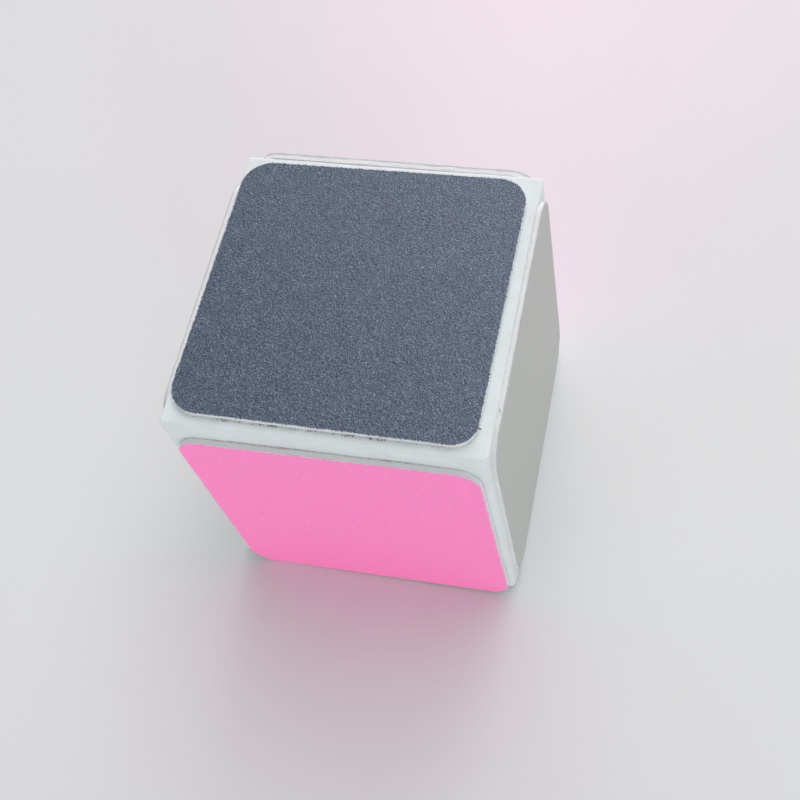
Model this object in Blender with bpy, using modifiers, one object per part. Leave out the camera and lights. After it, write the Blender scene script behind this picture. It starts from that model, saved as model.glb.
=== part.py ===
"""Six-sided nail buffer block: a foam cube with a laminated abrasive pad bonded to each face.

Each pad is a stack of four layers, counted outwards from the cube: the adhesive film that holds
the pad on, a thin foam cushion, the bonding film, and the abrasive sheet that does the work.
Opposite faces carry the same grade: coarse on the top and bottom, fine on the front and back,
and polishing on the left and right.

The block stands on its bottom pad. The origin is the middle of the face it stands on, +Z is up
and the front face looks towards -Y.
"""

from math import pi, radians

import bmesh
import bpy
from mathutils import Matrix, Vector

MM = 0.001

# Driving dimensions, in millimetres. The foam is sawn by hand, a little deeper than it is wide.
CORE_WIDTH = 38.0
CORE_DEPTH = 38.3
CORE_HEIGHT = 38.0
CORE_EDGE_RADIUS = 0.4
PAD_SIDE = 36.0
PAD_CORNER_RADIUS = {"coarse": 3.7, "fine": 3.1, "polishing": 4.2}

# Layers of a pad. The cushion of each grade fills what the other layers leave of the pad.
# The layers are far thinner than the usual clearance between parts, so theirs is small too.
PAD_THICKNESS = {"coarse": 0.78, "fine": 0.83, "polishing": 0.62}
ADHESIVE_FILM_THICKNESS = 0.06
BONDING_FILM_THICKNESS = 0.04
SHEET_THICKNESS = {"coarse": 0.16, "fine": 0.14, "polishing": 0.10}
LAYER_GAP = 0.02

# The knife that stamps the pads out squeezes the soft layers, so they end a little further in.
CUSHION_INSET = 0.08
FILM_INSET = 0.16

# Round corners are cut into this many flats.
PAD_CORNER_SEGMENTS = 8
CORE_EDGE_SEGMENTS = 4
SHARP_ANGLE = radians(35)

# Where each pad sits: its grade, the turn that takes +Z to the way its face looks, how far its
# middle is from the middle of the face along the block's own axes, and how far it is twisted
# about the way it looks. The pads are laid on by hand, so none is quite central or square.
FACES = {
    "top": ("coarse", Matrix.Identity(4), (-0.40, 0.07, 0.0), radians(-0.32)),
    "bottom": ("coarse", Matrix.Rotation(pi, 4, "X"), (0.20, -0.15, 0.0), radians(0.20)),
    "front": ("fine", Matrix.Rotation(pi / 2, 4, "X"), (0.20, 0.0, -1.60), radians(0.62)),
    "back": ("fine", Matrix.Rotation(-pi / 2, 4, "X"), (-0.10, 0.0, 0.96), radians(0.20)),
    "left": ("polishing", Matrix.Rotation(-pi / 2, 4, "Y"), (0.0, -0.20, 0.53), radians(-0.42)),
    "right": ("polishing", Matrix.Rotation(pi / 2, 4, "Y"), (0.0, -0.21, 0.94), radians(0.58)),
}

CORE_SIZE = Vector((CORE_WIDTH, CORE_DEPTH, CORE_HEIGHT))
CORE_CENTRE = Vector((0.0, 0.0, PAD_THICKNESS["coarse"] + CORE_HEIGHT / 2))

# Base colour, roughness.
MATERIALS = {
    "white_core_foam": ((0.83, 0.88, 0.88), 0.70),
    "white_cushion_foam": ((0.80, 0.80, 0.80), 0.80),
    "clear_adhesive": ((0.62, 0.61, 0.57), 0.35),
    "coarse_abrasive": ((0.135, 0.170, 0.235), 0.70),
    "fine_abrasive": ((0.960, 0.250, 0.550), 0.80),
    "polishing_face": ((0.520, 0.530, 0.510), 0.45),
}
SHEET_MATERIAL = {
    "coarse": "coarse_abrasive",
    "fine": "fine_abrasive",
    "polishing": "polishing_face",
}


def clear_scene():
    for old in list(bpy.data.objects):
        bpy.data.objects.remove(old, do_unlink=True)


def make_collection(name):
    collection = bpy.data.collections.new(name)
    bpy.context.scene.collection.children.link(collection)
    return collection


def make_material(name, colour, roughness):
    material = bpy.data.materials.new(name)
    material.use_nodes = True
    shader = material.node_tree.nodes["Principled BSDF"]
    shader.inputs["Base Color"].default_value = (*colour, 1.0)
    shader.inputs["Roughness"].default_value = roughness
    shader.inputs["Metallic"].default_value = 0.0
    return material


def finish_mesh(bm, name):
    """Turns millimetres into metres and shades the round corners smooth."""
    bmesh.ops.scale(bm, vec=(MM, MM, MM), verts=bm.verts)
    bmesh.ops.recalc_face_normals(bm, faces=bm.faces)
    mesh = bpy.data.meshes.new(name)
    bm.to_mesh(mesh)
    bm.free()
    mesh.shade_smooth()
    mesh.set_sharp_from_angle(angle=SHARP_ANGLE)
    return mesh


def plate_mesh(name, side, thickness, corner_radius):
    """A square plate with round corners that lies on z = 0."""
    bm = bmesh.new()
    bmesh.ops.create_cube(bm, size=1.0)
    bmesh.ops.scale(bm, vec=(side, side, thickness), verts=bm.verts)
    bmesh.ops.translate(bm, vec=(0.0, 0.0, thickness / 2), verts=bm.verts)
    upright = [e for e in bm.edges if abs(e.verts[0].co.z - e.verts[1].co.z) > thickness / 2]
    bmesh.ops.bevel(bm, geom=upright, offset=corner_radius, segments=PAD_CORNER_SEGMENTS,
                    affect="EDGES", profile=0.5)
    return finish_mesh(bm, name)


def add_object(name, mesh, material, collection, parent=None):
    made = bpy.data.objects.new(name, mesh)
    mesh.materials.append(material)
    collection.objects.link(made)
    made.parent = parent
    return made


def make_core(collection, materials):
    """The foam cube, with its sawn edges rubbed round."""
    bm = bmesh.new()
    bmesh.ops.create_cube(bm, size=1.0)
    bmesh.ops.scale(bm, vec=CORE_SIZE, verts=bm.verts)
    core = add_object("core_block", finish_mesh(bm, "core_block"),
                      materials["white_core_foam"], collection)
    core.location = CORE_CENTRE * MM
    rounding = core.modifiers.new("rubbed edges", "BEVEL")
    rounding.width = CORE_EDGE_RADIUS * MM
    rounding.segments = CORE_EDGE_SEGMENTS
    rounding.limit_method = "ANGLE"
    return core


def pad_layers(grade):
    """The layers of a pad from the core outwards: name, material, inset and thickness."""
    sheet = SHEET_THICKNESS[grade]
    films = ADHESIVE_FILM_THICKNESS + BONDING_FILM_THICKNESS
    gaps = 4 * LAYER_GAP
    cushion = PAD_THICKNESS[grade] - sheet - films - gaps
    return [
        ("adhesive_film", "clear_adhesive", FILM_INSET, ADHESIVE_FILM_THICKNESS),
        ("cushion", "white_cushion_foam", CUSHION_INSET, cushion),
        ("bonding_film", "clear_adhesive", FILM_INSET, BONDING_FILM_THICKNESS),
        ("abrasive_sheet", SHEET_MATERIAL[grade], 0.0, sheet),
    ]


def make_pad(face, grade, turn, shift, twist, collection, materials):
    """One pad, built up along +Z of an empty that sits on the core's face."""
    outward = turn.to_3x3() @ Vector((0.0, 0.0, 1.0))
    seat = bpy.data.objects.new(f"{face}_pad_seat", None)
    collection.objects.link(seat)
    middle = CORE_CENTRE + outward * CORE_SIZE / 2 + Vector(shift)
    seat.matrix_world = Matrix.Translation(middle * MM) @ turn @ Matrix.Rotation(twist, 4, "Z")
    height = 0.0
    for layer, material, inset, thickness in pad_layers(grade):
        height += LAYER_GAP
        name = f"{face}_{layer}"
        # The knife's corner radius is that of the full outline, so an inset layer has less.
        radius = PAD_CORNER_RADIUS[grade] - inset
        mesh = plate_mesh(name, PAD_SIDE - 2 * inset, thickness, radius)
        plate = add_object(name, mesh, materials[material], collection, parent=seat)
        plate.location.z = height * MM
        height += thickness


def main():
    clear_scene()
    collection = make_collection("nail_buffer_block")
    materials = {name: make_material(name, *look) for name, look in MATERIALS.items()}
    make_core(collection, materials)
    for face, (grade, turn, shift, twist) in FACES.items():
        make_pad(face, grade, turn, shift, twist, collection, materials)


main()
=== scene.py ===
"""The looks of the nail buffer block: white foam cube, six laminated pads, floor, light and camera.

Every piece is built in the box of the CAD node that it stands for, in metres. A pad's layers are
made lying down, with their outline round the origin and +Z outwards, and then seated on their face.
"""

import math
import zlib

import bmesh
import bpy
import numpy as np
from mathutils import Euler, Matrix, Vector, noise


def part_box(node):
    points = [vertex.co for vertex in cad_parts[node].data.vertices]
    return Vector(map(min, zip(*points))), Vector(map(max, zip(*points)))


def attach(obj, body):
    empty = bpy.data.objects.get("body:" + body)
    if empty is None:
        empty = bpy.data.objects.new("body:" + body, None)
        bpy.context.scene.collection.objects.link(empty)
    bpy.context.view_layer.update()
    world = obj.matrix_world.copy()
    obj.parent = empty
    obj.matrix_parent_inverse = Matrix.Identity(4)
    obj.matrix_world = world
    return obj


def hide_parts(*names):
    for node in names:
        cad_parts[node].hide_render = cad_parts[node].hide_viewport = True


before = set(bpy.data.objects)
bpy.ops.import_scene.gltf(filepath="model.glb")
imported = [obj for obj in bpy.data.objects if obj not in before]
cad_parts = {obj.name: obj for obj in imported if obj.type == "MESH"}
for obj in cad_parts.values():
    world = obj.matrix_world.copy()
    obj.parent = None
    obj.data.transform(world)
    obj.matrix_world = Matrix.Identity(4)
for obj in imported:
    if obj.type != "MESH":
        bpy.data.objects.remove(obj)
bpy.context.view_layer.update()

MM = 0.001
BODY = "root"

# ---------------------------------------------------------------- the design's own sizes
PAD_SIDE = 36.0 * MM
PAD_CORNER_RADIUS = {"coarse": 3.7 * MM, "fine": 3.1 * MM, "polishing": 4.2 * MM}
# The top pad's near right corner is cut tighter than its other three.
TIGHT_CORNER_RADIUS = 2.9 * MM
CORE_EDGE_RADIUS = 0.4 * MM
LAYER_GAP = 0.02 * MM
BACK_LEAN = 0.5 * MM

# Each face's grade, the turn that takes +Z to the way it looks, and the pad's twist in degrees.
FACES = {
    "top": ("coarse", Matrix.Identity(4), -0.32),
    "bottom": ("coarse", Matrix.Rotation(math.pi, 4, "X"), 0.20),
    "front": ("fine", Matrix.Rotation(math.pi / 2, 4, "X"), 0.62),
    "back": ("fine", Matrix.Rotation(-math.pi / 2, 4, "X"), 0.20),
    "left": ("polishing", Matrix.Rotation(-math.pi / 2, 4, "Y"), -0.42),
    "right": ("polishing", Matrix.Rotation(math.pi / 2, 4, "Y"), 0.58),
}

# ---------------------------------------------------------------- camera
CAMERA_PLACE = (40.14 * MM, -72.73 * MM, 153.87 * MM)
CAMERA_TURN = (29.239, 9.228, 12.196)
CAMERA_LENS_MM = 54.60
SENSOR_MM = 36.0


def make_camera():
    data = bpy.data.cameras.new("camera")
    data.lens = CAMERA_LENS_MM
    data.sensor_width = SENSOR_MM
    data.clip_start = 0.005
    data.clip_end = 20.0
    camera = bpy.data.objects.new("camera", data)
    bpy.context.scene.collection.objects.link(camera)
    camera.location = CAMERA_PLACE
    camera.rotation_euler = Euler([math.radians(a) for a in CAMERA_TURN], "XYZ")
    bpy.context.scene.camera = camera


# ---------------------------------------------------------------- materials
class Paint:
    """A Principled material, with short calls that add the nodes its pattern needs."""

    def __init__(self, name, colour, roughness, specular=0.5):
        self.material = bpy.data.materials.new(name)
        self.material.use_nodes = True
        self.tree = self.material.node_tree
        self.shader = self.tree.nodes["Principled BSDF"]
        self.shader.inputs["Base Color"].default_value = (*colour, 1.0)
        self.shader.inputs["Roughness"].default_value = roughness
        self.shader.inputs["Specular IOR Level"].default_value = specular
        self.place = self.tree.nodes.new("ShaderNodeTexCoord").outputs["Object"]

    def link(self, source, target):
        self.tree.links.new(source, target)

    def noise(self, size, detail=2.0):
        """Soft noise, 0 to 1, whose blotches are about `size` metres across."""
        node = self.tree.nodes.new("ShaderNodeTexNoise")
        node.inputs["Scale"].default_value = 1.0 / size
        node.inputs["Detail"].default_value = detail
        self.link(self.place, node.inputs["Vector"])
        return node.outputs["Fac"]

    def cells(self, size):
        """Cells about `size` metres across: a random number for each, and the distance to its middle."""
        node = self.tree.nodes.new("ShaderNodeTexVoronoi")
        node.inputs["Scale"].default_value = 1.0 / size
        self.link(self.place, node.inputs["Vector"])
        split = self.tree.nodes.new("ShaderNodeSeparateColor")
        self.link(node.outputs["Color"], split.inputs["Color"])
        return split.outputs["Red"], node.outputs["Distance"]

    def ramp(self, source, *stops):
        """Turns a number into a colour: each stop is a place from 0 to 1 and its colour."""
        node = self.tree.nodes.new("ShaderNodeValToRGB")
        while len(node.color_ramp.elements) < len(stops):
            node.color_ramp.elements.new(0.5)
        for element, (where, colour) in zip(node.color_ramp.elements, stops):
            element.position = where
            element.color = (*colour, 1.0)
        self.link(source, node.inputs["Fac"])
        return node.outputs["Color"]

    def mix(self, amount, first, second, blend="MIX"):
        node = self.tree.nodes.new("ShaderNodeMix")
        node.data_type = "RGBA"
        node.blend_type = blend
        for value, socket in ((amount, "Factor"), (first, "A"), (second, "B")):
            target = next(i for i in node.inputs if i.name == socket and i.enabled)
            if isinstance(value, bpy.types.NodeSocket):
                self.link(value, target)
            else:
                target.default_value = value
        return next(o for o in node.outputs if o.enabled)

    def attribute(self, name):
        node = self.tree.nodes.new("ShaderNodeAttribute")
        node.attribute_name = name
        return node.outputs["Fac"]

    def span(self, source, low, high):
        """Stretches 0 to 1 into low to high."""
        node = self.tree.nodes.new("ShaderNodeMapRange")
        node.inputs["To Min"].default_value = low
        node.inputs["To Max"].default_value = high
        self.link(source, node.inputs["Value"])
        return node.outputs["Result"]

    def bump(self, source, depth, strength):
        node = self.tree.nodes.new("ShaderNodeBump")
        node.inputs["Distance"].default_value = depth
        node.inputs["Strength"].default_value = strength
        self.link(source, node.inputs["Height"])
        self.link(node.outputs["Normal"], self.shader.inputs["Normal"])

    def colour(self, source):
        self.link(source, self.shader.inputs["Base Color"])

    def rough(self, source):
        self.link(source, self.shader.inputs["Roughness"])


BACKING_WHITE = (0.80, 0.84, 0.85)
BACKING_GREY = (0.56, 0.58, 0.58)


def coarse_paint():
    """Dark blue-grey grit: each grain its own shade, the few brightest painted glints standing in for
    sparkle, on a white backing.
    """
    paint = Paint("coarse_grit", (0.10, 0.13, 0.20), 0.5, specular=1.0)
    paint.shader.inputs["Specular Tint"].default_value = (0.72, 0.82, 1.0, 1.0)
    shade, _ = paint.cells(0.09 * MM)
    # The ramp's top stops, the rare bright grains, are painted glints that stand in for the grit's
    # sparkle; the rest is the grains' own shade.
    grains = paint.ramp(shade, (0.0, (0.002, 0.003, 0.011)), (0.50, (0.035, 0.049, 0.085)),
                        (0.92, (0.125, 0.162, 0.240)), (0.99, (0.285, 0.335, 0.440)))
    clouds = paint.ramp(paint.noise(1.6 * MM), (0.25, (0.90, 0.90, 0.92)), (0.75, (1.06, 1.06, 1.04)))
    grit = paint.mix(1.0, grains, clouds, "MULTIPLY")
    paint.colour(paint.mix(paint.attribute("coat"), (*BACKING_WHITE, 1.0), grit))
    gloss, _ = paint.cells(0.17 * MM)
    paint.rough(paint.span(gloss, 0.25, 0.50))
    paint.bump(paint.noise(0.06 * MM), 0.01 * MM, 0.6)
    return paint.material


# Painted glow: a constant red emission, the same whether the pad is lit or not, that stands in for the red
# a fluorescent pink gives out on top of what it reflects.
PAINTED_PINK_GLOW = 0.55


def fine_paint():
    """Fluorescent pink grit, so fine that it looks like felt, with a stray bright grain here and there,
    and a painted red glow.
    """
    paint = Paint("fine_grit", (0.64, 0.34, 0.75), 0.75, specular=0.3)
    mottle = paint.ramp(paint.noise(0.22 * MM, 3.0),
                        (0.3, (0.42, 0.276, 0.650)), (0.7, (0.45, 0.350, 0.730)))
    speck, _ = paint.cells(0.25 * MM)
    sparks = paint.ramp(speck, (0.9965, (0.0, 0.0, 0.0)), (0.9985, (1.0, 1.0, 1.0)))
    grit = paint.mix(sparks, mottle, (0.50, 0.50, 0.80, 1.0))
    coat = paint.attribute("coat")
    paint.colour(paint.mix(coat, (*BACKING_WHITE, 1.0), grit))
    # Painted glow: the coated face gives out constant red light, lit or not; the bare backing does not.
    painted_glow = paint.mix(coat, (0.0, 0.0, 0.0, 1.0), (1.0, 0.0, 0.0, 1.0))
    paint.link(painted_glow, paint.shader.inputs["Emission Color"])
    paint.shader.inputs["Emission Strength"].default_value = PAINTED_PINK_GLOW
    paint.bump(paint.noise(0.07 * MM, 3.0), 0.012 * MM, 0.6)
    return paint.material


def polishing_paint():
    """Smooth grey rubber film with a dull sheen."""
    paint = Paint("polishing_film", (0.49, 0.50, 0.48), 0.45)
    mottle = paint.ramp(paint.noise(0.35 * MM, 3.0),
                        (0.3, (0.475, 0.49, 0.467)), (0.7, (0.500, 0.515, 0.492)))
    paint.colour(paint.mix(paint.attribute("coat"), (*BACKING_GREY, 1.0), mottle))
    paint.rough(paint.span(paint.noise(0.9 * MM, 3.0), 0.40, 0.55))
    paint.bump(paint.noise(0.12 * MM, 3.0), 0.004 * MM, 0.5)
    return paint.material


def foam_paint(name, colour, cell):
    """White closed-cell foam: a fine, even grain with the odd open cell."""
    paint = Paint(name, colour, 0.6, specular=0.4)
    lighter = tuple(min(1.0, c * 1.03) for c in colour)
    darker = tuple(c * 0.97 for c in colour)
    clouds = paint.ramp(paint.noise(2.5 * MM, 3.0), (0.3, darker), (0.7, lighter))
    pore, depth = paint.cells(cell)
    pores = paint.ramp(pore, (0.96, (1.0, 1.0, 1.0)), (0.99, (0.94, 0.94, 0.95)))
    paint.colour(paint.mix(1.0, clouds, pores, "MULTIPLY"))
    paint.rough(paint.span(paint.noise(0.5 * MM), 0.5, 0.7))
    paint.bump(depth, 0.012 * MM, 0.5)
    paint.shader.inputs["Subsurface Weight"].default_value = 0.25
    paint.shader.inputs["Subsurface Radius"].default_value = (1.0, 1.0, 1.0)
    paint.shader.inputs["Subsurface Scale"].default_value = 0.6 * MM
    return paint.material


def glue_paint(name, clean, dirty):
    """The edge of a glue film: it holds dust in some places and is clean in others; its colours can also
    paint shade along a pad's foot.
    """
    paint = Paint(name, clean, 0.5)
    paint.colour(paint.ramp(paint.noise(0.8 * MM, 4.0), (0.50, clean), (0.68, dirty)))
    paint.rough(paint.span(paint.noise(0.3 * MM), 0.35, 0.7))
    paint.bump(paint.noise(0.1 * MM), 0.01 * MM, 0.6)
    return paint.material


def grain_paint(name, dark, light):
    """Loose grains, each its own shade."""
    paint = Paint(name, dark, 0.55)
    shade, _ = paint.cells(0.1 * MM)
    paint.colour(paint.ramp(shade, (0.2, dark), (0.9, light)))
    paint.rough(paint.span(shade, 0.4, 0.7))
    return paint.material


# ---------------------------------------------------------------- mesh tools
def dice(name):
    """Random numbers that depend only on the name of the piece they are for."""
    return np.random.default_rng(zlib.crc32(name.encode()))


def wander(random, count, waves, size):
    """Ups and downs round a closed ring of `count` points, with a standard deviation of `size`."""
    angle = np.arange(count) * 2 * math.pi / count
    total = np.zeros(count)
    for wave in range(1, waves + 1):
        total += random.normal() * np.cos(wave * angle + random.uniform(0, 2 * math.pi))
    return size * total / total.std()


def off_square(mesh):
    """The saw ran off square, so the back face, and the pad on it, stand out further at the left."""
    low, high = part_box("core_block")
    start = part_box("top_abrasive_sheet")[1][1]
    points = np.empty(len(mesh.vertices) * 3, dtype=np.float32)
    mesh.vertices.foreach_get("co", points)
    x, y, _ = points.reshape(-1, 3).T
    leftward = np.clip((high[0] - x) / (high[0] - low[0]), 0.0, 1.0)
    backward = np.clip((y - start) / (high[1] - start), 0.0, 1.0)
    y += BACK_LEAN * leftward * backward
    mesh.vertices.foreach_set("co", points)


def place_piece(name, mesh, material, nodes=(), smooth=True):
    """Puts a finished mesh on the block as a piece that stands for these CAD nodes."""
    off_square(mesh)
    if smooth:
        mesh.shade_smooth()
    mesh.materials.append(material)
    piece = bpy.data.objects.new(name, mesh)
    bpy.context.scene.collection.objects.link(piece)
    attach(piece, BODY)
    if nodes:
        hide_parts(*nodes)
    return piece


def add_piece(name, points, faces, material, nodes=(), smooth=True, matrix=None, coat=None):
    """A piece from points and faces; `coat` says how much of its coat each point of a sheet has kept."""
    mesh = bpy.data.meshes.new(name)
    mesh.from_pydata(points, [], faces)
    if coat is not None:
        mesh.attributes.new("coat", "FLOAT", "POINT").data.foreach_set("value", coat.astype(np.float32))
    if matrix is not None:
        mesh.transform(matrix)
    return place_piece(name, mesh, material, nodes, smooth)


def seat(face, node):
    """Where a layer lies, from its node's box: the matrix that seats it, and its thickness."""
    _, turn, twist = FACES[face]
    low, high = (Vector(corner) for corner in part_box(node))
    outward = turn.to_3x3() @ Vector((0.0, 0.0, 1.0))
    thickness = abs((high - low).dot(outward))
    foot = (low + high) / 2 - outward * thickness / 2
    return Matrix.Translation(foot) @ turn @ Matrix.Rotation(math.radians(twist), 4, "Z"), thickness


def corner_radii(face):
    """The radii of a pad's corners, anticlockwise from the one at +x and +y."""
    radii = [PAD_CORNER_RADIUS[FACES[face][0]]] * 4
    if face == "top":
        radii[3] = TIGHT_CORNER_RADIUS
    return radii


def outline(face, inset, pitch):
    """A pad's outline, anticlockwise, drawn in by `inset`: its points and the ways out from them."""
    half = PAD_SIDE / 2 - inset
    radii = [radius - inset for radius in corner_radii(face)]
    points = []
    ways = []
    for quarter, radius in enumerate(radii):
        c, s = math.cos(quarter * math.pi / 2), math.sin(quarter * math.pi / 2)
        turn = np.array(((c, -s), (s, c)))
        start, end = radii[quarter - 1] - half, half - radius
        for along in np.linspace(start, end, round((end - start) / pitch), endpoint=False):
            points.append(turn @ (half, along))
            ways.append(turn @ (1.0, 0.0))
        for angle in np.linspace(0.0, math.pi / 2, round(math.pi / 2 * radius / pitch), endpoint=False):
            way = np.array((math.cos(angle), math.sin(angle)))
            points.append(turn @ (way * radius + end))
            ways.append(turn @ way)
    return np.array(points), np.array(ways)


def ring_faces(lower, upper):
    """The side between two rings of point numbers, the lower one first."""
    return np.stack((lower, np.roll(lower, -1), np.roll(upper, -1), upper), axis=1).tolist()


def fan_faces(ring, middle, up):
    """A ring closed with a fan round a middle point."""
    after = np.roll(ring, -1)
    order = (ring, after) if up else (after, ring)
    return np.stack((np.full(len(ring), middle), *order), axis=1).tolist()


def plate(rings, heights):
    """A closed plate whose side runs through these rings, from its underside to its top."""
    count = len(rings[0])
    points = [np.column_stack((ring, np.broadcast_to(height, count)))
              for ring, height in zip(rings, heights)]
    faces = []
    for level in range(len(rings) - 1):
        start = level * count
        faces += ring_faces(np.arange(start, start + count), np.arange(start + count, start + 2 * count))
    total = len(rings) * count
    faces += fan_faces(np.arange(count), total, up=False)
    faces += fan_faces(np.arange(total - count, total), total + 1, up=True)
    points.append(np.array(((0.0, 0.0, np.mean(heights[0])), (0.0, 0.0, np.mean(heights[-1])))))
    return np.concatenate(points), faces


# ---------------------------------------------------------------- the foam core
# A face's grid is fine in a strip along its edges and wide under the pad. The skin waves inwards.
CORE_ARC_STEPS = 5
CORE_FINE_PITCH = 0.25 * MM
CORE_FINE_WIDTH = 3.5 * MM
CORE_WIDE_STEPS = 12
CORE_WAVE_LENGTH = 6.0 * MM
CORE_WAVE_SIZE = 0.05 * MM
WORN_EDGE_RADIUS = 1.0 * MM
SAME_POINT = 0.001 * MM


def core_steps(half):
    """Places along one axis of a face: close together at the edges, wide apart under the pads."""
    flat = half - CORE_EDGE_RADIUS
    arc = [flat + CORE_EDGE_RADIUS * math.tan(math.pi / 4 * step / CORE_ARC_STEPS)
           for step in range(1, CORE_ARC_STEPS + 1)]
    fine = np.arange(flat - CORE_FINE_WIDTH, flat + CORE_FINE_PITCH / 2, CORE_FINE_PITCH)
    wide = np.linspace(0.0, fine[0], CORE_WIDE_STEPS, endpoint=False)
    outer = np.concatenate((wide, fine, arc))
    return np.concatenate((-outer[:0:-1], outer))


def wear_edge(vertices, low, high):
    """Rounds the upright edge at the front right, which is more worn than the others."""
    x, y = high[0] - WORN_EDGE_RADIUS, low[1] + WORN_EDGE_RADIUS
    for vertex in vertices:
        out = Vector((vertex.co.x - x, vertex.co.y - y))
        if out.x > 0 and out.y < 0 and out.length > WORN_EDGE_RADIUS:
            out *= WORN_EDGE_RADIUS / out.length
            vertex.co.x, vertex.co.y = x + out.x, y + out.y


def make_core(material):
    """The foam cube: six gridded faces with rounded edges, one edge worn, and a faintly wavy skin."""
    low, high = (np.array(corner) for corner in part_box("core_block"))
    middle = (low + high) / 2
    half = (high - low) / 2
    flat = half - CORE_EDGE_RADIUS
    bm = bmesh.new()
    for axis in range(3):
        across, along = (axis + 1) % 3, (axis + 2) % 3
        us, vs = core_steps(half[across]), core_steps(half[along])
        for sign in (-1, 1):
            grid = np.zeros((len(us), len(vs), 3))
            grid[..., axis] = sign * half[axis]
            grid[..., across] = us[:, None]
            grid[..., along] = vs[None, :]
            inner = np.clip(grid, -flat, flat)
            out = grid - inner
            out *= CORE_EDGE_RADIUS / np.linalg.norm(out, axis=2, keepdims=True)
            rounded = middle + inner + out
            corners = [[bm.verts.new(point) for point in row] for row in rounded]
            for i in range(len(us) - 1):
                for j in range(len(vs) - 1):
                    quad = (corners[i][j], corners[i + 1][j], corners[i + 1][j + 1], corners[i][j + 1])
                    bm.faces.new(quad if sign > 0 else quad[::-1])
    bmesh.ops.remove_doubles(bm, verts=bm.verts, dist=SAME_POINT)
    wear_edge(bm.verts, low, high)
    bm.normal_update()
    for vertex in bm.verts:
        wave = noise.noise(vertex.co / CORE_WAVE_LENGTH)
        vertex.co -= vertex.normal * CORE_WAVE_SIZE * (0.5 + wave)
    mesh = bpy.data.meshes.new("core_block_foam")
    bm.to_mesh(mesh)
    bm.free()
    piece = place_piece("core_block_foam", mesh, material, ["core_block"])


# ---------------------------------------------------------------- the layers of a pad
RING_PITCH = 0.2 * MM
# Where a plate's flat ends begin, as a share of its outline.
END_RING = 0.97
FILM_INSET = 0.06 * MM
FILM_WAVES = 240
FILM_CREEP = 0.02 * MM
# The share of its creep that a film reaches at its foot, its middle and its top.
FILM_SIDE = (0.6, 1.0, 0.5)
# How far the lower films sink into the cube's foam.
FOAM_SINK = 0.08 * MM


def make_film(face, layer, material, sink=0.0):
    """A coat of glue that fills the clearance on both sides of it and creeps out unevenly."""
    node = f"{face}_{layer}"
    random = dice(node)
    matrix, thickness = seat(face, node)
    ring, ways = outline(face, FILM_INSET, RING_PITCH)
    creep = wander(random, len(ring), FILM_WAVES, FILM_CREEP)[:, None] * ways
    side = [ring + creep * share for share in FILM_SIDE]
    rings = [ring * END_RING, *side, ring * END_RING]
    low, high = -LAYER_GAP - sink, thickness + LAYER_GAP
    heights = [low, low, thickness / 2, high, high]
    points, faces = plate(rings, heights)
    add_piece(f"{node}_glue", points, faces, material, [node], matrix=matrix)


CUSHION_INSET = 0.08 * MM
CUSHION_WAVES = 60
CUSHION_SWEEP = 0.02 * MM
CUSHION_ROUGH = 0.006 * MM
# The profile of the cushion's cut side: shares of its thickness, and how far the foam stands out there.
CUSHION_SIDE = (
    (0.0, -0.01 * MM),
    (0.08, 0.01 * MM),
    (0.3, 0.0),
    (0.55, -0.01 * MM),
    (0.8, 0.0),
    (0.95, 0.01 * MM),
    (1.0, -0.01 * MM),
)


def make_cushion(face, material):
    """The foam layer: its cut side is a little hollow, and pinched where the knife went through."""
    node = f"{face}_cushion"
    random = dice(node)
    matrix, thickness = seat(face, node)
    ring, ways = outline(face, CUSHION_INSET, RING_PITCH)
    sweep = wander(random, len(ring), CUSHION_WAVES, CUSHION_SWEEP)
    rings = [ring * END_RING]
    heights = [0.0]
    for level, reach in CUSHION_SIDE:
        rough = random.normal(0.0, CUSHION_ROUGH, len(ring))
        rings.append(ring + (reach + sweep + rough)[:, None] * ways)
        heights.append(level * thickness)
    rings.append(ring * END_RING)
    heights.append(thickness)
    points, faces = plate(rings, heights)
    piece = add_piece(f"{node}_foam", points, faces, material, [node], matrix=matrix)


# How a sheet's face is grained: the pitch of its grains, how far they stray from an even net as a
# share of that, their height, and how ragged the cut rim is.
GRAIN_PITCH = {"coarse": 0.132 * MM, "fine": 0.24 * MM, "polishing": 0.40 * MM}
GRAIN_SHAKE = 0.30
GRAIN_HEIGHT = {"coarse": 0.035 * MM, "fine": 0.010 * MM, "polishing": 0.002 * MM}
RIM_RAGGED = {"coarse": 0.035 * MM, "fine": 0.015 * MM, "polishing": 0.010 * MM}
RIM_LIMIT = 0.08 * MM
RIM_DROP = 0.02 * MM
RIM_WAVES = 40
RIM_WAVE_SIZE = 0.01 * MM
# Most grains are low and a few stand up: an even draw is raised to this power, and a grain of this
# share of the full height lies level with its node's face.
GRAIN_SKEW = 1.5
GRAIN_LEVEL = 0.6
# Two slow swells of the whole sheet: their lengths and heights, and the second way's squeeze.
SWELLS = ((9.0 * MM, 0.012 * MM), (4.0 * MM, 0.006 * MM))
SWELL_SQUEEZE = 1.3
# The backing's bare side: shares of the sheet's thickness, and how far it stands out there.
BACKING_SIDE = ((0.7, 0.0), (0.35, -0.01 * MM), (0.0, -0.03 * MM))
BACKING_RAGGED = 0.3
# How fast the outline's round corners fade towards the middle of the net, and the least bend that
# is divided by, since the very middle has none.
CORNER_FADE = 6
LEAST_BEND = 1e-12


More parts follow.
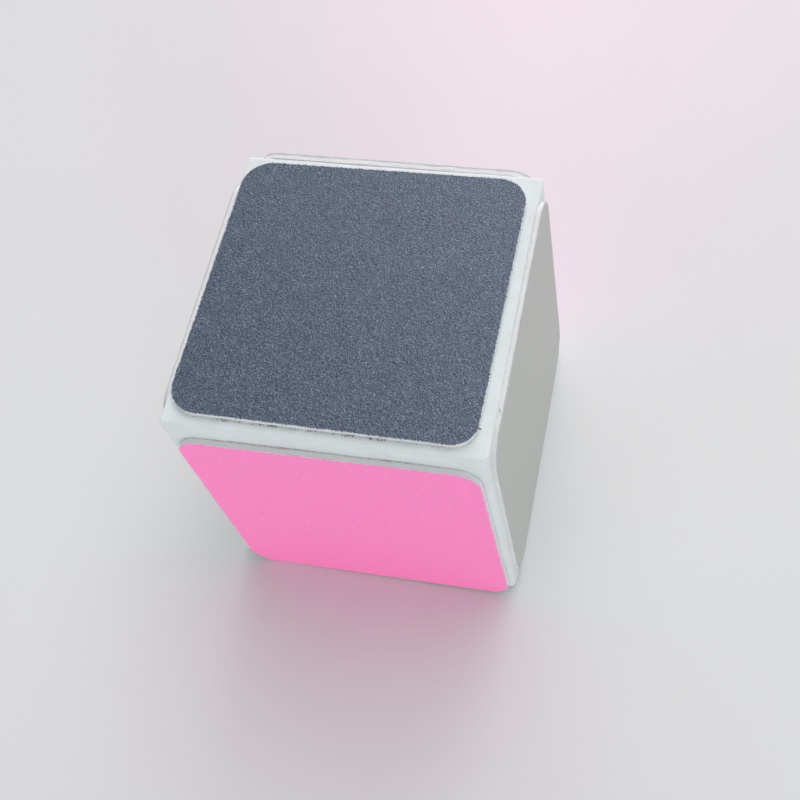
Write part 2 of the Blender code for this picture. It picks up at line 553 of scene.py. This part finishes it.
def round_corners(points, half, radii):
    """Bends a square net of points so that its outer corners follow their radii; the middle stays."""
    reach = np.abs(points).max(axis=1)
    right, up = points[:, 0] > 0, points[:, 1] > 0
    radius = np.select([right & up, ~right & up, ~right & ~up], radii[:3], radii[3])
    bend = radius * (reach / half) ** CORNER_FADE
    straight = (reach - bend)[:, None]
    sign = np.where(points < 0, -1.0, 1.0)
    inside = np.abs(points)
    past = (inside - straight) / np.maximum(bend, LEAST_BEND)[:, None]
    in_corner = (past > 0).all(axis=1)
    angle = np.where(inside[:, 0] >= inside[:, 1], past[:, 1], 2.0 - past[:, 0]) * math.pi / 4
    arc = np.stack((np.cos(angle), np.sin(angle)), axis=1) * bend[:, None] + straight
    return np.where(in_corner[:, None], arc, inside) * sign


def area(points, a, b, c):
    """Twice the area of the triangles abc, below zero where they are turned over."""
    (x1, y1), (x2, y2) = (points[b] - points[a]).T, (points[c] - points[a]).T
    return x1 * y2 - y1 * x2


def net_triangles(points, number):
    """Splits each cell of a net in two, along the diagonal whose smaller triangle is the larger."""
    a, b = number[:-1, :-1].ravel(), number[:-1, 1:].ravel()
    c, d = number[1:, 1:].ravel(), number[1:, :-1].ravel()
    along_ac = np.minimum(area(points, a, b, c), area(points, a, c, d))
    along_bd = np.minimum(area(points, a, b, d), area(points, b, c, d))
    better = (along_ac > along_bd)[:, None]
    first = np.where(better, np.stack((a, b, c), 1), np.stack((a, b, d), 1))
    second = np.where(better, np.stack((a, c, d), 1), np.stack((b, c, d), 1))
    return first.tolist() + second.tolist()


def ways_out(ring):
    """The way out from each point of an anticlockwise ring, square to the line between its neighbours."""
    past = np.roll(ring, -1, axis=0) - np.roll(ring, 1, axis=0)
    return np.stack((past[:, 1], -past[:, 0]), axis=1) / np.linalg.norm(past, axis=1, keepdims=True)


def make_sheet(face, material):
    """The abrasive sheet: grains on its face, a ragged cut rim, and its backing's bare edge below."""
    node = f"{face}_abrasive_sheet"
    random = dice(node)
    grade = FACES[face][0]
    matrix, thickness = seat(face, node)
    half = PAD_SIDE / 2
    cells = round(PAD_SIDE / GRAIN_PITCH[grade])
    line = np.linspace(-half, half, cells + 1)
    x, y = np.meshgrid(line, line)
    flat = np.stack((x.ravel(), y.ravel()), axis=1)
    on_rim = np.isclose(np.abs(flat).max(axis=1), half)
    shake = random.uniform(-GRAIN_SHAKE, GRAIN_SHAKE, flat.shape) * GRAIN_PITCH[grade]
    flat = round_corners(flat + np.where(on_rim[:, None], 0.0, shake), half, corner_radii(face))
    grains = random.random(len(flat)) ** GRAIN_SKEW
    height = thickness + GRAIN_HEIGHT[grade] * (grains - GRAIN_LEVEL)
    for k, (long, size) in enumerate(SWELLS):
        height += size * np.sin(flat[:, 0] / long + k) * np.cos(flat[:, 1] / long * SWELL_SQUEEZE + 2 * k)
    height[on_rim] -= RIM_DROP

    side = cells + 1
    number = np.arange(side * side).reshape(side, side)
    faces = net_triangles(flat, number)

    rim = np.concatenate((number[0, :-1], number[:-1, -1], number[-1, :0:-1], number[:0:-1, 0]))
    ring = flat[rim]
    ways = ways_out(ring)
    ragged = wander(random, len(ring), RIM_WAVES, RIM_WAVE_SIZE)
    ragged += random.normal(0.0, RIM_RAGGED[grade], len(ring))
    flat[rim] += np.clip(ragged, -RIM_LIMIT, RIM_LIMIT)[:, None] * ways
    points = [np.column_stack((flat, height))]
    coat = [np.where(on_rim, random.random(len(flat)), 1.0)]
    upper = rim
    total = len(flat)
    for level, reach in BACKING_SIDE:
        lower = np.arange(total, total + len(ring))
        below = ring + reach * ways + BACKING_RAGGED * ragged[:, None] * ways
        points.append(np.column_stack((below, np.full(len(ring), level * thickness))))
        coat.append(np.zeros(len(ring)))
        faces += ring_faces(lower, upper)
        upper = lower
        total += len(ring)
    points.append(np.zeros((1, 3)))
    coat.append(np.zeros(1))
    faces += fan_faces(upper, total, up=False)
    add_piece(f"{node}_coated", np.concatenate(points), faces, material, [node],
              smooth=grade != "coarse", matrix=matrix, coat=np.concatenate(coat))


# ---------------------------------------------------------------- stray grains and flecks
SHARD_CORNERS = 10
# A stray grain's middle is this share of its size above the foam, and its size varies this much.
STRAY_LIFT = 0.3
STRAY_SPREAD = (0.5, 1.3)
# Lines of stray grains along a pad's side: how many, where the line starts and ends, how far they
# lie from the pad, and their size.
NEAR_GRIT = ((48, -8 * MM, 12 * MM, 0.07 * MM, 0.17 * MM), (26, -15 * MM, 15 * MM, 0.14 * MM, 0.11 * MM))
FRONT_GRIT = ((26, -13 * MM, -2 * MM, 0.06 * MM, 0.15 * MM), (24, -15 * MM, 15 * MM, 0.10 * MM, 0.10 * MM))
SIDE_GRIT = ((9, -15 * MM, 15 * MM, 0.14 * MM, 0.07 * MM),)
# A torn tag on the top sheet's near right corner, a fleck on the right cushion's upper side, and
# lint on the rim of the right sheet: place, size and turn of each.
BURR = ((17.52 * MM, -15.60 * MM, 39.50 * MM), (0.75 * MM, 0.26 * MM, 0.10 * MM), -0.35)
FLECK = ((19.22 * MM, -12.70 * MM, 38.70 * MM), (0.15 * MM, 0.70 * MM, 0.06 * MM), 0.10)
LINT_SIZE = (0.14 * MM, 0.45 * MM, 0.12 * MM)
LINT_TURN = 0.10
LINT = (
    ((19.58 * MM, -10.30 * MM, 38.68 * MM), LINT_SIZE, LINT_TURN),
    ((19.60 * MM, -9.50 * MM, 38.68 * MM), LINT_SIZE, LINT_TURN),
)


def add_shards(name, shards, material, matrix=None):
    """Small sharp-edged grains, each given by its place, its size along the three axes and its turn."""
    random = dice(name)
    bm = bmesh.new()
    for place, size, turn in shards:
        ways = random.normal(size=(SHARD_CORNERS, 3))
        ways /= np.linalg.norm(ways, axis=1, keepdims=True)
        spin = Matrix.Rotation(turn, 3, "Z")
        corners = [bm.verts.new(Vector(place) + spin @ Vector(way * np.array(size) / 2)) for way in ways]
        hull = bmesh.ops.convex_hull(bm, input=corners)
        bmesh.ops.delete(bm, geom=[v for v in hull["geom_interior"] if v.is_valid], context="VERTS")
    points = [vertex.co.copy() for vertex in bm.verts]
    bm.verts.index_update()
    faces = [[vertex.index for vertex in face.verts] for face in bm.faces]
    bm.free()
    add_piece(name, points, faces, material, smooth=False, matrix=matrix)


def strewn(random, lines):
    """The grains of these lines, along the side of a pad that lies with that side at +Y."""
    grains = []
    for count, start, end, aside, size in lines:
        for _ in range(count):
            along = random.uniform(start, end)
            across = PAD_SIDE / 2 + abs(random.normal(0.0, aside))
            grain = size * random.uniform(*STRAY_SPREAD)
            grains.append(((along, across, grain * STRAY_LIFT), (grain,) * 3, random.uniform(0, math.pi)))
    return grains


def make_strays(dark, pink, white):
    """Loose grit lodged against the pads that show, the torn tag, the fleck and the lint."""
    random = dice("strays")
    top, _ = seat("top", "top_adhesive_film")
    sides = (("near", math.pi, NEAR_GRIT), ("right", -math.pi / 2, SIDE_GRIT),
             ("far", 0.0, SIDE_GRIT), ("left", math.pi / 2, SIDE_GRIT))
    for side, turn, lines in sides:
        matrix = top @ Matrix.Rotation(turn, 4, "Z")
        add_shards(f"stray_grit_{side}", strewn(random, lines), dark, matrix)
    front, _ = seat("front", "front_adhesive_film")
    add_shards("stray_grit_front", strewn(random, FRONT_GRIT), pink, front)
    add_shards("burr", [BURR], dark)
    add_shards("fleck", [FLECK], dark)
    add_shards("fray", LINT, white)


# ---------------------------------------------------------------- stage
FLOOR_REACH = 1.5
FLOOR_CELLS = 40


def make_floor():
    bm = bmesh.new()
    bmesh.ops.create_grid(bm, x_segments=FLOOR_CELLS, y_segments=FLOOR_CELLS, size=FLOOR_REACH)
    mesh = bpy.data.meshes.new("floor")
    bm.to_mesh(mesh)
    bm.free()
    paint = Paint("floor_paper", (0.785, 0.800, 0.810), 0.6, specular=0.3)
    paint.colour(paint.ramp(paint.noise(30 * MM),
                            (0.3, (0.780, 0.795, 0.805)), (0.7, (0.790, 0.805, 0.815))))
    mesh.materials.append(paint.material)
    floor = bpy.data.objects.new("floor", mesh)
    bpy.context.scene.collection.objects.link(floor)


# Big soft disks far off, all aimed at the block: how high, which way round from the back towards
# the right, both in degrees, and the watts.
LIGHT_DISTANCE = 3.0
LIGHT_SIZE = 2.5
LIGHTS = {
    "window": (18, 5, 33.0),
    "window_left": (15, 315, 8.0),
    "window_top": (38, 350, 14.0),
    "ceiling": (65, 28, 28.0),
    "room_right": (7, 145, 37.0),
    "room_left": (7, 225, 12.0),
}
WORLD_STRENGTH = 0.38


def add_disk(name, size, watts):
    """A soft round light that the camera doesn't see; it shines down until it is turned."""
    data = bpy.data.lights.new(name, "AREA")
    data.shape = "DISK"
    data.size = size
    data.energy = watts
    light = bpy.data.objects.new(name, data)
    bpy.context.scene.collection.objects.link(light)
    light.visible_camera = False
    return light


def make_light(name, height, way_round, watts):
    height, way_round = math.radians(height), math.radians(way_round)
    level = math.cos(height)
    away = Vector((level * math.sin(way_round), level * math.cos(way_round), math.sin(height)))
    light = add_disk(name, LIGHT_SIZE, watts)
    light.location = away * LIGHT_DISTANCE
    light.rotation_euler = away.to_track_quat("Z", "Y").to_euler()


# The block alone tints the floor behind it too little; this small light adds to it.
SPILL_PLACE = (2 * MM, 100 * MM, 70 * MM)
SPILL_SIZE = 40 * MM
SPILL_COLOUR = (1.0, 0.12, 0.45)
SPILL_WATTS = 0.010


def make_spill():
    light = add_disk("pink_spill", SPILL_SIZE, SPILL_WATTS)
    light.data.color = SPILL_COLOUR
    light.location = SPILL_PLACE


def make_world():
    world = bpy.data.worlds.new("world")
    bpy.context.scene.world = world
    world.use_nodes = True
    background = world.node_tree.nodes["Background"]
    background.inputs["Color"].default_value = (1.0, 1.0, 1.0, 1.0)
    background.inputs["Strength"].default_value = WORLD_STRENGTH


# ---------------------------------------------------------------- everything
make_camera()
SHEET_PAINT = {"coarse": coarse_paint(), "fine": fine_paint(), "polishing": polishing_paint()}
CUSHION = foam_paint("cushion_foam", (0.89, 0.90, 0.91), 0.12 * MM)
# Painted shade: this film's edge is darker all along, to darken the contact line at a pad's foot, with
# darker patches of dust.
DUSTY_SHADED_GLUE = glue_paint("dust_and_shade_glue", (0.74, 0.76, 0.77), (0.46, 0.46, 0.48))
CLEAN_GLUE = glue_paint("clean_glue", (0.84, 0.86, 0.87), (0.76, 0.77, 0.78))
# The pads whose lower film has caught dust along its edge, and whose film edge is painted darker there as
# painted shade along the pad's foot.
DUST_AND_SHADE_FACES = ("top", "bottom", "front")
make_core(foam_paint("core_foam", (0.795, 0.850, 0.868), 0.18 * MM))
for face, (grade, _, _) in FACES.items():
    make_film(face, "adhesive_film", DUSTY_SHADED_GLUE if face in DUST_AND_SHADE_FACES else CLEAN_GLUE, sink=FOAM_SINK)
    make_cushion(face, CUSHION)
    make_film(face, "bonding_film", CLEAN_GLUE)
    make_sheet(face, SHEET_PAINT[grade])
make_strays(grain_paint("stray_dark", (0.05, 0.055, 0.07), (0.28, 0.29, 0.31)),
            grain_paint("stray_pink", (0.45, 0.28, 0.36), (0.85, 0.30, 0.52)),
            grain_paint("stray_white", (0.70, 0.72, 0.72), (0.82, 0.84, 0.84)))
make_floor()
make_world()
for name, (height, way_round, watts) in LIGHTS.items():
    make_light(name, height, way_round, watts)
make_spill()
bpy.context.scene.view_settings.view_transform = "Standard"

bpy.context.view_layer.update()
